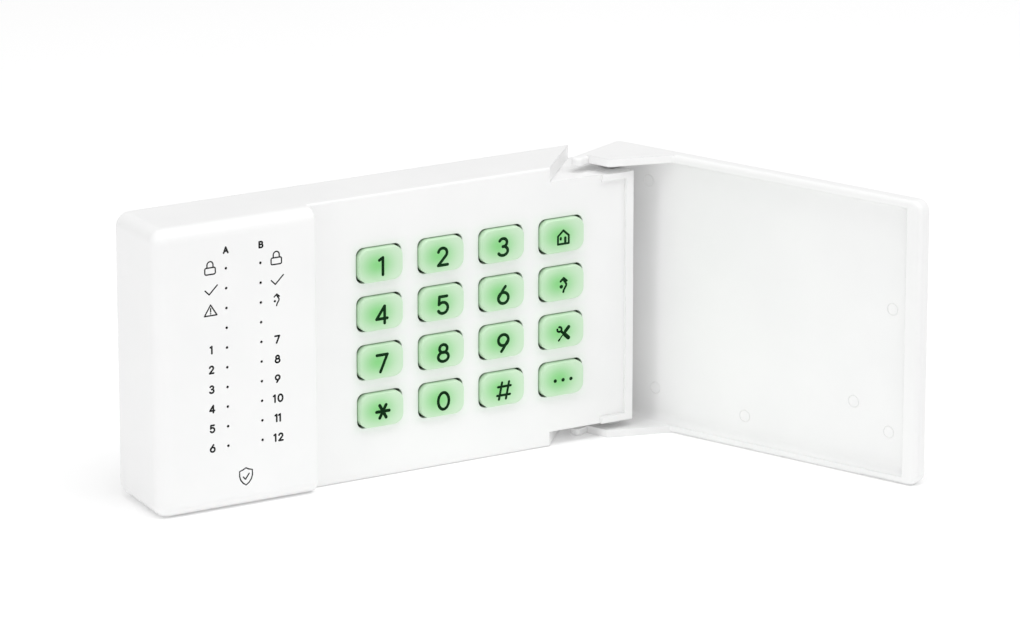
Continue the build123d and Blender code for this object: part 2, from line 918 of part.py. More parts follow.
def address_jumper():
    """Shunt pushed over two of the header's pins."""
    far = board_back - header_base_height - jumper_lift
    middle = (header_pin_x(0) + header_pin_x(1)) / 2
    margin = header_pin_width / 2
    shunt = forward(Pos(middle, header_z) * Rectangle(2 * header_pitch - margin,
                                                      header_pitch - margin),
                    far - jumper_height, far)
    slot_width = header_pin_width + 2 * screw_clearance
    slots = [forward(Pos(header_pin_x(index), header_z) * Rectangle(slot_width, slot_width),
                     far - jumper_height + jumper_lift, far + wall)
             for index in range(2)]
    return drilled(shunt, slots)


# ------------------------------------------------------------------------------ output

def model():
    """Every sub-part by name."""
    nodes = {
        "front_housing": front_housing(),
        "wall_plate": wall_plate(),
        "door": door(),
        "keypad_mat": keypad_mat(),
        "main_board": main_board(),
        "indicator_lamps": indicator_lamps(),
        "backlight_lamps": backlight_lamps(),
        "lamp_baffle": lamp_baffle(),
        "board_screws": board_screws(),
        "cover_screw": cover_screw(),
        "terminal_block": terminal_block(),
        "terminal_screws": terminal_screws(),
        "terminal_clamps": terminal_clamps(),
        "buzzer": buzzer(),
        "tamper_switch": tamper_switch(),
        "tamper_plunger": tamper_plunger(),
        "tamper_spring": tamper_spring(),
        "microcontroller": microcontroller(),
        "voltage_regulator": voltage_regulator(),
        "capacitors": capacitors(),
        "address_header": address_header(),
        "address_jumper": address_jumper(),
    }
    for name, x, z in key_places():
        nodes[name] = key(x, z)
    return nodes


os.makedirs(parts_folder, exist_ok=True)
for node, shape in model().items():
    export_step(shape, os.path.join(parts_folder, node + ".step"))
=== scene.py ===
"""Alarm keypad panel: finishes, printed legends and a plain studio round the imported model.

Lengths in the frame are metres. Glyphs, offsets and prints are drawn in millimetres and
brought to metres by MM. The panel's front looks along -Y, +X is to the right and +Z is up.
"""
import json
import logging
import math
from dataclasses import dataclass, field, replace
from enum import Enum
from typing import Any

import bmesh
import bpy
from mathutils import Matrix, Vector


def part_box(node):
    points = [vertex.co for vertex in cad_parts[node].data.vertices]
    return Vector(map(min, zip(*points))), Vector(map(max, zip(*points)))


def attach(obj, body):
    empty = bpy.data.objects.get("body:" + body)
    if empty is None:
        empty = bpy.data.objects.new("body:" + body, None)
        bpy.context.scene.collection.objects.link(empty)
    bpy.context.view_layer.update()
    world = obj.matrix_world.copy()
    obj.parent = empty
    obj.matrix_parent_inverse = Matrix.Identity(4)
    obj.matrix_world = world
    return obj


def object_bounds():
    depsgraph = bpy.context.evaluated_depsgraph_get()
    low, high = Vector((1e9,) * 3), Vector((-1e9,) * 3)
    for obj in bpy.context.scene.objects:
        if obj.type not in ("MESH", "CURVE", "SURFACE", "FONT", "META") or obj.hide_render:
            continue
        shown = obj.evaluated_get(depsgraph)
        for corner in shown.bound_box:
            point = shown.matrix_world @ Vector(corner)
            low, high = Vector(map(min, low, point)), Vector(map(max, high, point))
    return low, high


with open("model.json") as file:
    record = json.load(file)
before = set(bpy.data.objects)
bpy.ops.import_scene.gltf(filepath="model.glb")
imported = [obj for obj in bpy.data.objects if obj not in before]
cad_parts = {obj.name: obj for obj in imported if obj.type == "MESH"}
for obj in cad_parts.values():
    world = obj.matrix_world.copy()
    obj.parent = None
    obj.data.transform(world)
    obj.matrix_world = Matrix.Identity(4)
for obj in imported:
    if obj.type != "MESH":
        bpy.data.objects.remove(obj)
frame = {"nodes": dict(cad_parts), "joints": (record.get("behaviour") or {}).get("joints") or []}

CAD_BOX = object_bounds()
MM = 0.001
FRONT = Vector((0.0, -1.0, 0.0))
Point = tuple[float, float]
Color = tuple[float, float, float]
Placed = tuple[str, float, float, float]  # a glyph's name, scale, x and z in millimetres
log = logging.getLogger("keypad")


# ---- node work

class Socket(Enum):
    """Kinds of socket that the shared effects use."""

    VALUE = "NodeSocketFloat"
    VECTOR = "NodeSocketVector"


@dataclass(frozen=True)
class Row:
    """Evenly spaced points along one axis.

    Args:
        first: Place of the first point.
        last: Place of the last point.
        count: Number of points.
    """

    first: float
    last: float
    count: int

    @property
    def pitch(self) -> float:
        """Distance from point to point."""
        return abs(self.last - self.first) / (self.count - 1)

    @property
    def middle(self) -> float:
        """Place halfway along the row."""
        return (self.first + self.last) / 2

    @property
    def half(self) -> float:
        """Half the row's length."""
        return abs(self.last - self.first) / 2


# The Mix node repeats its socket names for each data type, so the colour ones go by number.
MIX_FACTOR, MIX_FIRST, MIX_SECOND, MIX_RESULT = 0, 6, 7, 2


class NodeSheet:
    """Adds nodes to one tree and wires them, so that a finish reads like a recipe."""

    def __init__(self, tree: bpy.types.NodeTree) -> None:
        """Keep the tree that nodes are added to."""
        self.tree = tree

    def node(self, kind: str, feeds: dict[Any, Any] | None = None,
             **settings: Any) -> bpy.types.Node:
        """Add one node.

        Args:
            kind: Blender's name for the node type.
            feeds: Values or sockets by input name or number.
            settings: Properties of the node itself.

        Returns:
            The new node.
        """
        made = self.tree.nodes.new(kind)
        for name, value in settings.items():
            setattr(made, name, value)
        for name, value in (feeds or {}).items():
            self.feed(made.inputs[name], value)
        return made

    def feed(self, socket: bpy.types.NodeSocket, value: Any) -> None:
        """Link a socket to an input, or set the input's own value.

        Args:
            socket: The input.
            value: An output socket, or a plain value.
        """
        if isinstance(value, bpy.types.NodeSocket):
            self.tree.links.new(value, socket)
        elif isinstance(value, tuple) and len(value) == 3 and socket.type == "RGBA":
            socket.default_value = (*value, 1.0)
        else:
            socket.default_value = value

    def math(self, operation: str, *values: Any) -> Any:
        """Result of a Math node on up to three values or sockets."""
        return self.node("ShaderNodeMath", dict(enumerate(values)), operation=operation).outputs[0]

    def noise(self, vector: Any, scale: Any, detail: float = 2.0) -> Any:
        """Noise between 0 and 1, with scale in cells a metre."""
        made = self.node("ShaderNodeTexNoise",
                         {"Vector": vector, "Scale": scale, "Detail": detail})
        return made.outputs["Fac"]

    def step(self, value: Any, low: float, high: float, start: float = 0.0,
             end: float = 1.0) -> Any:
        """Smooth step of a value, whichever of low and high is the larger.

        Args:
            value: The value that is stepped.
            low: Value at which the step starts.
            high: Value at which it ends.
            start: Result up to low.
            end: Result past high.

        Returns:
            The result's socket.
        """
        made = self.node("ShaderNodeMapRange",
                         {"Value": value, "From Min": low, "From Max": high,
                          "To Min": start, "To Max": end}, interpolation_type="SMOOTHSTEP")
        return made.outputs["Result"]

    def blend(self, factor: Any, first: Any, second: Any) -> Any:
        """Mix two colours.

        Args:
            factor: Share of the second colour, from 0 to 1.
            first: A colour or its socket.
            second: A colour or its socket.

        Returns:
            The mixed colour's socket.
        """
        made = self.node("ShaderNodeMix", data_type="RGBA")
        for index, value in ((MIX_FACTOR, factor), (MIX_FIRST, first), (MIX_SECOND, second)):
            self.feed(made.inputs[index], value)
        return made.outputs[MIX_RESULT]

    def axes(self, vector: Any) -> tuple[Any, Any, Any]:
        """The x, y and z of a vector as three sockets."""
        made = self.node("ShaderNodeSeparateXYZ", {0: vector})
        return made.outputs[0], made.outputs[1], made.outputs[2]

    def squeezed(self, vector: Any, times: float) -> Any:
        """A vector with its x made larger, so that a pattern on it is squeezed along X."""
        made = self.node("ShaderNodeMapping", {"Vector": vector, "Scale": (times, 1.0, 1.0)})
        return made.outputs[0]

    def from_nearest(self, value: Any, row: Row) -> Any:
        """Distance from the nearest point of a row that has no ends, with its sign."""
        return self.math("WRAP", self.math("SUBTRACT", value, row.first), row.pitch / 2,
                         -row.pitch / 2)

    def beyond(self, value: Any, limit: float) -> Any:
        """How far a value lies outside a limit on either side of nought."""
        over = self.math("SUBTRACT", self.math("ABSOLUTE", value), limit)
        return self.math("MAXIMUM", over, 0.0)

    def past_row(self, value: Any, row: Row, margin: float = 0.0) -> Any:
        """How far a value lies outside a row's ends and a margin beyond them."""
        return self.beyond(self.math("SUBTRACT", value, row.middle), row.half + margin)

    def distance(self, across: Any, up: Any) -> Any:
        """Length of the diagonal of two distances."""
        squares = self.math("MULTIPLY_ADD", across, across, self.math("POWER", up, 2.0))
        return self.math("SQRT", squares)


class Effect:
    """A shader node group with named inputs and outputs, built once and used in many finishes."""

    def __init__(self, name: str, inputs: dict[str, Socket], outputs: list[str]) -> None:
        """Start an empty group.

        Args:
            name: Name of the group.
            inputs: Kind of each input, by name.
            outputs: Names of the outputs, all of them plain values.
        """
        self.tree = bpy.data.node_groups.new(name, "ShaderNodeTree")
        for label, kind in inputs.items():
            self.tree.interface.new_socket(label, in_out="INPUT", socket_type=kind.value)
        for label in outputs:
            self.tree.interface.new_socket(label, in_out="OUTPUT",
                                           socket_type=Socket.VALUE.value)
        self.sheet = NodeSheet(self.tree)
        self.given = self.tree.nodes.new("NodeGroupInput").outputs
        self.result = self.tree.nodes.new("NodeGroupOutput").inputs

    def put(self, **results: Any) -> None:
        """Wire a socket to each of the group's outputs, by name."""
        for label, socket in results.items():
            self.sheet.feed(self.result[label], socket)

    def on(self, sheet: NodeSheet, **values: Any) -> bpy.types.Node:
        """Place the group on a material's sheet, with values or sockets for its inputs."""
        return sheet.node("ShaderNodeGroup", values, node_tree=self.tree)


@dataclass
class SharedEffects:
    """The effects that more than one finish uses.

    Args:
        keys: Where the keys stand, for the light that spreads from them.
    """

    keys: "KeyGrid"
    grain: Effect = field(init=False)
    edges: Effect = field(init=False)
    drawn: Effect = field(init=False)
    backlight: Effect = field(init=False)

    def __post_init__(self) -> None:
        """Build every group."""
        self.grain = self.moulded_grain()
        self.edges = self.polished_edges()
        self.drawn = self.drawn_streaks()
        self.backlight = self.key_backlight()

    def moulded_grain(self) -> Effect:
        """Fine texture of a moulding, with slow drifts of tone and gloss.

        Returns:
            Group with Height, Tone and Gloss.
        """
        made = Effect("moulded_grain", {"Vector": Socket.VECTOR, "Cells": Socket.VALUE},
                      ["Height", "Tone", "Gloss"])
        sheet, vector = made.sheet, made.given["Vector"]
        coarse = sheet.noise(vector, made.given["Cells"], 3.0)
        pits = sheet.noise(vector, sheet.math("MULTIPLY", made.given["Cells"], 3.1), 1.0)
        made.put(Height=sheet.math("MULTIPLY_ADD", pits, 0.35, coarse),
                 Tone=sheet.step(sheet.noise(vector, 38.0, 3.0), 0.3, 0.7),
                 Gloss=sheet.step(sheet.noise(vector, 210.0, 4.0), 0.35, 0.65))
        return made

    def polished_edges(self) -> Effect:
        """Mask of the edges that hands and cloths polish.

        Returns:
            Group with Mask.
        """
        made = Effect("polished_edges", {"Vector": Socket.VECTOR, "Radius": Socket.VALUE},
                      ["Mask"])
        sheet = made.sheet
        round_normal = sheet.node("ShaderNodeBevel", {"Radius": made.given["Radius"]}, samples=4)
        flat_normal = sheet.node("ShaderNodeNewGeometry")
        facing = sheet.node("ShaderNodeVectorMath",
                            {0: round_normal.outputs[0], 1: flat_normal.outputs["Normal"]},
                            operation="DOT_PRODUCT")
        edge = sheet.step(facing.outputs["Value"], 1.0, 0.86)
        patchy = sheet.step(sheet.noise(made.given["Vector"], 160.0, 3.0), 0.25, 0.75, 0.4, 1.0)
        made.put(Mask=sheet.math("MULTIPLY", edge, patchy))
        return made

    def drawn_streaks(self) -> Effect:
        """Streaks of drawn, turned or rolled metal.

        Returns:
            Group with Height and Tone.
        """
        made = Effect("drawn_streaks", {"Vector": Socket.VECTOR}, ["Height", "Tone"])
        sheet, vector = made.sheet, made.given["Vector"]
        streaks = sheet.noise(sheet.squeezed(vector, 9.0), 900.0, 3.0)
        made.put(Height=streaks, Tone=sheet.step(sheet.noise(vector, 420.0, 2.0), 0.3, 0.7))
        return made

    def key_backlight(self) -> Effect:
        """Light of the lamp under each key, on the key and on the deck round it.

        Returns:
            Group with Core, which is 1 at the lamp, and Halo, which fades away from a key.
        """
        made = Effect("key_backlight", {"Vector": Socket.VECTOR}, ["Core", "Halo"])
        sheet, grid = made.sheet, self.keys
        x, _, z = sheet.axes(made.given["Vector"])
        across, up = sheet.from_nearest(x, grid.columns), sheet.from_nearest(z, grid.rows)
        aside = sheet.math("DIVIDE", sheet.math("SUBTRACT", across, grid.lamp_x),
                           grid.lamp_stretch)
        spot = sheet.distance(aside, sheet.math("SUBTRACT", up, grid.lamp_z))
        core = sheet.math("POWER", sheet.step(spot, grid.lamp_reach, 0.0), grid.lamp_falloff)
        near = sheet.distance(sheet.beyond(across, grid.cap_width / 2),
                              sheet.beyond(up, grid.cap_height / 2))
        past = sheet.distance(sheet.past_row(x, grid.columns, grid.cap_width / 2),
                              sheet.past_row(z, grid.rows, grid.cap_height / 2))
        halo = sheet.math("MULTIPLY", sheet.step(near, grid.halo_reach, 0.0),
                          sheet.step(past, grid.halo_reach, 0.0))
        made.put(Core=core, Halo=halo)
        return made


# ---- finishes

class Make(Enum):
    """Ways in which the panel's materials are made."""

    MOULDED = "moulded"
    LIT_DECK = "moulded, with light from the keys on it"
    LIT_KEY = "moulded and lit from behind"
    METAL = "drawn or turned metal"
    LAMINATE = "circuit board"
    LENS = "clear resin"
    INK = "printed ink"


@dataclass(frozen=True)
class Finish:
    """One material's own values.

    Args:
        name: Name of the material.
        make: How it is made.
        color: Main colour.
        second: Colour that it drifts to in patches, or that shows over a lamp or a track.
        roughness: Roughness in the middle of its range.
        spread: How far the roughness drifts.
        cells: Grain cells a metre.
        depth: Depth of the grain, in metres.
        edge: Radius in which edges are polished, in metres, or 0 for none.
        ior: Index of refraction.
        glow: Strength of the light that it gives off, or 0 for none; on a key it is painted lamp
            light.
        soft: Radius in which sharp edges are shaded round, in metres, or 0 for none.
    """

    name: str
    make: Make
    color: Color
    second: Color
    roughness: float
    spread: float = 0.05
    cells: float = 2600.0
    depth: float = 0.000004
    edge: float = 0.0
    ior: float = 1.49
    glow: float = 0.0
    soft: float = 0.0


CASE = Finish("white_case", Make.MOULDED, (0.905, 0.905, 0.903), (0.885, 0.886, 0.886), 0.34,
              edge=0.0007, soft=0.00022)
DECK = replace(CASE, name="white_case_lit", make=Make.LIT_DECK)
# A key's glow and its deeper green over the lamp are painted light of the lamp under it.
KEY = Finish("key_translucent", Make.LIT_KEY, (0.56, 0.735, 0.545), (0.21, 0.59, 0.20), 0.30,
             cells=3400.0, glow=0.08)
MAT = Finish("mat_rubber", Make.MOULDED, (0.70, 0.70, 0.67), (0.62, 0.63, 0.60), 0.72,
             spread=0.08, cells=1800.0, depth=0.00001, ior=1.41)
BOARD = Finish("board_laminate", Make.LAMINATE, (0.012, 0.115, 0.045), (0.03, 0.21, 0.08), 0.38,
               cells=1500.0)
# Dark colour: partly the lens's own tint, partly painted shade for the pinholes in front of the
# lamps.
LAMP = Finish("lamp_clear", Make.LENS, (0.035, 0.034, 0.030), (0.020, 0.019, 0.016), 0.30, ior=1.15)
LAMP_LIT = Finish("lamp_lit", Make.LENS, (0.30, 0.85, 0.28), (0.55, 0.95, 0.50), 0.14, ior=1.53,
                  glow=1.6)
BLACK = Finish("black_moulding", Make.MOULDED, (0.016, 0.016, 0.017), (0.026, 0.026, 0.027),
               0.52, depth=0.000008, edge=0.0003)
STEEL = Finish("screw_steel", Make.METAL, (0.62, 0.62, 0.60), (0.48, 0.47, 0.44), 0.28)
GREEN = Finish("terminal_green", Make.MOULDED, (0.020, 0.22, 0.075), (0.030, 0.27, 0.10), 0.42,
               edge=0.0003)
BRASS = Finish("clamp_brass", Make.METAL, (0.66, 0.50, 0.24), (0.52, 0.37, 0.16), 0.30)
PLUNGER = Finish("plunger_white", Make.MOULDED, (0.80, 0.80, 0.76), (0.74, 0.74, 0.70), 0.42,
                 edge=0.0003)
SPRING = Finish("spring_steel", Make.METAL, (0.50, 0.50, 0.50), (0.38, 0.38, 0.39), 0.24)
EPOXY = Finish("chip_epoxy", Make.MOULDED, (0.020, 0.020, 0.022), (0.032, 0.032, 0.034), 0.58,
               spread=0.08, cells=5200.0, depth=0.00001, edge=0.0002)
CAN = Finish("capacitor_can", Make.METAL, (0.74, 0.74, 0.75), (0.62, 0.62, 0.63), 0.20)
HEADER = Finish("header_pins", Make.MOULDED, (0.022, 0.022, 0.023), (0.034, 0.034, 0.034), 0.48,
                edge=0.0002)
JUMPER = Finish("jumper_blue", Make.MOULDED, (0.020, 0.075, 0.42), (0.028, 0.095, 0.48), 0.40,
                edge=0.0002)
BLACK_INK = Finish("ink_black", Make.INK, (0.010, 0.010, 0.011), (0.022, 0.022, 0.023), 0.5,
                   cells=7000.0, depth=0.000002, ior=1.15)
GREEN_INK = Finish("ink_dark_green", Make.INK, (0.0015, 0.020, 0.004), (0.004, 0.034, 0.008),
                   0.5, cells=7000.0, depth=0.000002, ior=1.15)
# Painted green light from the keys, darker than the case, so painted shade beside the keys too.
PAINTED_KEY_GLOW_AND_SHADE: Color = (0.845, 0.905, 0.850)
# Painted shade on the keys below the deck.
PAINTED_KEY_SHADE_GREEN: Color = (0.03, 0.06, 0.03)
# Painted shade down the pinholes.
PAINTED_HOLE_SHADE: Color = (0.006, 0.006, 0.006)
TINNED_PAD: Color = (0.42, 0.43, 0.40)


@dataclass
class Coat:
    """A finish's material while it is wired.

    Args:
        finish: The finish.
        sheet: The material's sheet.
        place: Object coordinates.
        color: The colour so far.
    """

    finish: Finish
    sheet: NodeSheet
    place: Any
    color: Any


@dataclass
class FinishShop:
    """Makes each finish's material once.

    Args:
        effects: The shared effects.
        pinholes: Where the pinholes are.
        edge_polish: How much smoother a polished edge is.
        bump: Strength of every grain's bump.
        halo: Share of painted green key light and painted shade on the deck beside a key.
        pad_cover: How far a tinned pad hides the board under it.
        clearness: Share of light that goes through a clear resin.
        made: Materials made so far, by name.
    """

    effects: SharedEffects
    pinholes: "PinholeGrid"
    edge_polish: float = 0.10
    bump: float = 0.6
    halo: float = 0.55
    pad_cover: float = 0.8
    clearness: float = 0.25
    made: dict[str, bpy.types.Material] = field(default_factory=dict)

    def material(self, finish: Finish) -> bpy.types.Material:
        """Material of a finish.

        Args:
            finish: The finish.

        Returns:
            Its material, made on the first call.
        """
        if finish.name not in self.made:
            self.made[finish.name] = self.build(finish)
            log.info("finish %s: %s", finish.name, finish.make.value)
        return self.made[finish.name]

    def build(self, finish: Finish) -> bpy.types.Material:
        """Wire a finish.

        Args:
            finish: The finish.

        Returns:
            The new material.
        """
        material = bpy.data.materials.new(finish.name)
        material.use_nodes = True
        material.node_tree.nodes.clear()
        sheet = NodeSheet(material.node_tree)
        place = sheet.node("ShaderNodeTexCoord").outputs["Object"]
        shader = sheet.node("ShaderNodeBsdfPrincipled", {"IOR": finish.ior})
        sheet.node("ShaderNodeOutputMaterial", {"Surface": shader.outputs[0]})
        grain = self.effects.grain.on(sheet, Vector=place, Cells=finish.cells)
        pattern = grain
        if finish.make is Make.METAL:
            shader.inputs["Metallic"].default_value = 1.0
            pattern = self.effects.drawn.on(sheet, Vector=place)
        coat = Coat(finish, sheet, place,
                    sheet.blend(pattern.outputs["Tone"], finish.color, finish.second))
        painters = {Make.LIT_DECK: self.deck_color, Make.LIT_KEY: self.key_color,
                    Make.LAMINATE: self.board_color}
        if finish.make in painters:
            coat.color = painters[finish.make](coat)
        if finish.make is Make.LENS:
            shader.inputs["Transmission Weight"].default_value = self.clearness
        # On the keys this emission is painted light of the lamps under them.
        if finish.glow:
            sheet.feed(shader.inputs["Emission Color"], coat.color)
            shader.inputs["Emission Strength"].default_value = finish.glow
        sheet.feed(shader.inputs["Base Color"], coat.color)
        sheet.feed(shader.inputs["Roughness"], self.roughness(coat, grain))
        sheet.feed(shader.inputs["Normal"], self.normal(coat, pattern))
        return material

    def roughness(self, coat: Coat, grain: bpy.types.Node) -> Any:
        """Roughness that drifts with the gloss and drops at polished edges.

        Args:
            coat: The material that is being wired.
            grain: Its grain.

        Returns:
            The roughness's socket.
        """
        finish, sheet = coat.finish, coat.sheet
        rough = sheet.math("MULTIPLY_ADD", grain.outputs["Gloss"], finish.spread,
                           finish.roughness - finish.spread / 2)
        if finish.edge:
            edge = self.effects.edges.on(sheet, Vector=coat.place, Radius=finish.edge)
            rough = sheet.math("MULTIPLY_ADD", edge.outputs["Mask"], -self.edge_polish, rough)
        return rough

    def normal(self, coat: Coat, pattern: bpy.types.Node) -> Any:
        """Normal of the grain, with sharp edges shaded round where the finish asks for it.

        Args:
            coat: The material that is being wired.
            pattern: The grain or the streaks.

        Returns:
            The normal's socket.
        """
        bump = coat.sheet.node("ShaderNodeBump",
                               {"Height": pattern.outputs["Height"],
                                "Distance": coat.finish.depth, "Strength": self.bump})
        if coat.finish.soft:
            rounded = coat.sheet.node("ShaderNodeBevel", {"Radius": coat.finish.soft}, samples=6)
            coat.sheet.feed(bump.inputs["Normal"], rounded.outputs[0])
        return bump.outputs[0]

    def deck_color(self, coat: Coat) -> Any:
        """White front with painted green key light and shade, and painted shade down its pinholes.

        Args:
            coat: The material that is being wired.

        Returns:
            Colour for the shader.
        """
        sheet, pins = coat.sheet, self.pinholes
        light = self.effects.backlight.on(sheet, Vector=coat.place)
        # Painted green key light and painted shade on the deck beside each key.
        amount = sheet.math("MULTIPLY", light.outputs["Halo"], self.halo)
        lit = sheet.blend(amount, coat.color, PAINTED_KEY_GLOW_AND_SHADE)
        x, y, z = sheet.axes(coat.place)
        from_middle = sheet.math("ABSOLUTE", sheet.math("SUBTRACT", x, pins.columns.middle))
        across = sheet.math("SUBTRACT", from_middle, pins.columns.half)
        spot = sheet.distance(across, sheet.from_nearest(z, pins.rows))
        beside = sheet.step(spot, pins.reach, pins.radius)
        in_column = sheet.step(sheet.past_row(z, pins.rows), 2 * pins.reach, pins.reach)
        deep = sheet.step(y, pins.face, pins.face + pins.mouth)
        # Painted shade down each pinhole's wall.
        painted_hole_shade = sheet.math("MULTIPLY", sheet.math("MULTIPLY", beside, deep), in_column)
        return sheet.blend(painted_hole_shade, lit, PAINTED_HOLE_SHADE)

    def key_color(self, coat: Coat) -> Any:
        """Green key, with painted lamp light deepest over it and painted shade below the deck.

        Args:
            coat: The material that is being wired.

        Returns:
            Colour for the shader.
        """
        sheet, finish, keys = coat.sheet, coat.finish, self.effects.keys
        light = self.effects.backlight.on(sheet, Vector=coat.place)
        _, y, _ = sheet.axes(coat.place)
        # Painted light of the lamp: deepest green over it.
        lit = sheet.blend(light.outputs["Core"], finish.color, finish.second)
        # Painted shade on the key where it runs down below the deck.
        painted_shade = sheet.step(y, keys.deck_y + keys.shade_start, keys.deck_y + keys.shade_end)
        return sheet.blend(painted_shade, lit, PAINTED_KEY_SHADE_GREEN)

    def board_color(self, coat: Coat) -> Any:
        """Solder mask with the copper tracks showing paler through it, and tinned pads.

        Args:
            coat: The material that is being wired.

        Returns:
            Colour for the shader.
        """
        sheet = coat.sheet
        x, _, z = sheet.axes(coat.place)
        flat = sheet.node("ShaderNodeCombineXYZ", {0: x, 1: z}).outputs[0]
        tracks = sheet.node("ShaderNodeTexBrick",
                            {"Vector": flat, "Scale": 110.0, "Mortar Size": 0.035,
                             "Mortar Smooth": 0.2, "Brick Width": 0.9, "Row Height": 0.14},
                            offset=0.37, squash=1.6)
        spots = sheet.node("ShaderNodeTexVoronoi", {"Vector": flat, "Scale": 330.0})
        pad = sheet.step(spots.outputs["Distance"], 0.16, 0.12)
        copper = sheet.blend(tracks.outputs["Fac"], coat.color, coat.finish.second)
        return sheet.blend(sheet.math("MULTIPLY", pad, self.pad_cover), copper, TINNED_PAD)


# ---- pen and glyphs

ARC_STEP = 12.0  # degrees
FEWEST_ARC_STEPS = 6
CAP_SHARES = (0.35, 0.62, 0.82, 0.94, 0.995)  # places along a round cap, as shares of its radius
JOIN_DISTANCE = 0.002  # millimetres


@dataclass(frozen=True)
class Stroke:
    """One line of a pen, in millimetres.

    Args:
        path: Points that the pen follows.
        weight: Width as a share of the pen's own.
        closed: Whether the line joins its own start.
    """

    path: tuple[Point, ...]
    weight: float = 1.0
    closed: bool = False


def arc(x: float, z: float, across: float, up: float, start: float, end: float) -> list[Point]:
    """Points on part of an oval.

    Args:
        x: Middle of the oval.
        z: Middle of the oval.
        across: Half its width.
        up: Half its height.
        start: First angle in degrees, anticlockwise from the right.
        end: Last angle.

    Returns:
        The points.
    """
    steps = max(FEWEST_ARC_STEPS, round(abs(end - start) / ARC_STEP))
    turns = [math.radians(start + (end - start) * i / steps) for i in range(steps + 1)]
    return [(x + across * math.cos(a), z + up * math.sin(a)) for a in turns]


def pen(*points: Point, weight: float = 1.0) -> list[Stroke]:
    """One smooth line."""
    return [Stroke(tuple(points), weight)]


def ring(x: float, z: float, across: float, up: float) -> list[Stroke]:
    """A closed oval line."""
    return [Stroke(tuple(arc(x, z, across, up, 0, 360)[:-1]), closed=True)]


def lines(*points: Point, weight: float = 1.0) -> list[Stroke]:
    """Straight lines from point to point, with round joints."""
    return [Stroke((a, b), weight) for a, b in zip(points, points[1:])]


def dot(x: float, z: float, weight: float) -> list[Stroke]:
    """A round dot, which is the two caps of a very short line."""
    return [Stroke(((x - 0.01, z), (x + 0.01, z)), weight)]


def frame_line(half: float, low: float, high: float, corner: float) -> list[Stroke]:
    """A closed rectangle with round corners.

    Args:
        half: Half its width.
        low: Its lower edge.
        high: Its upper edge.
        corner: Radius of its corners.

    Returns:
        The line.
    """
    right, top, bottom = half - corner, high - corner, low + corner
    corners = ((right, top), (-right, top), (-right, bottom), (right, bottom))
    path = [point for turn, (x, z) in enumerate(corners)
            for point in arc(x, z, corner, corner, 90 * turn, 90 * (turn + 1))]
    return [Stroke(tuple(path), closed=True)]


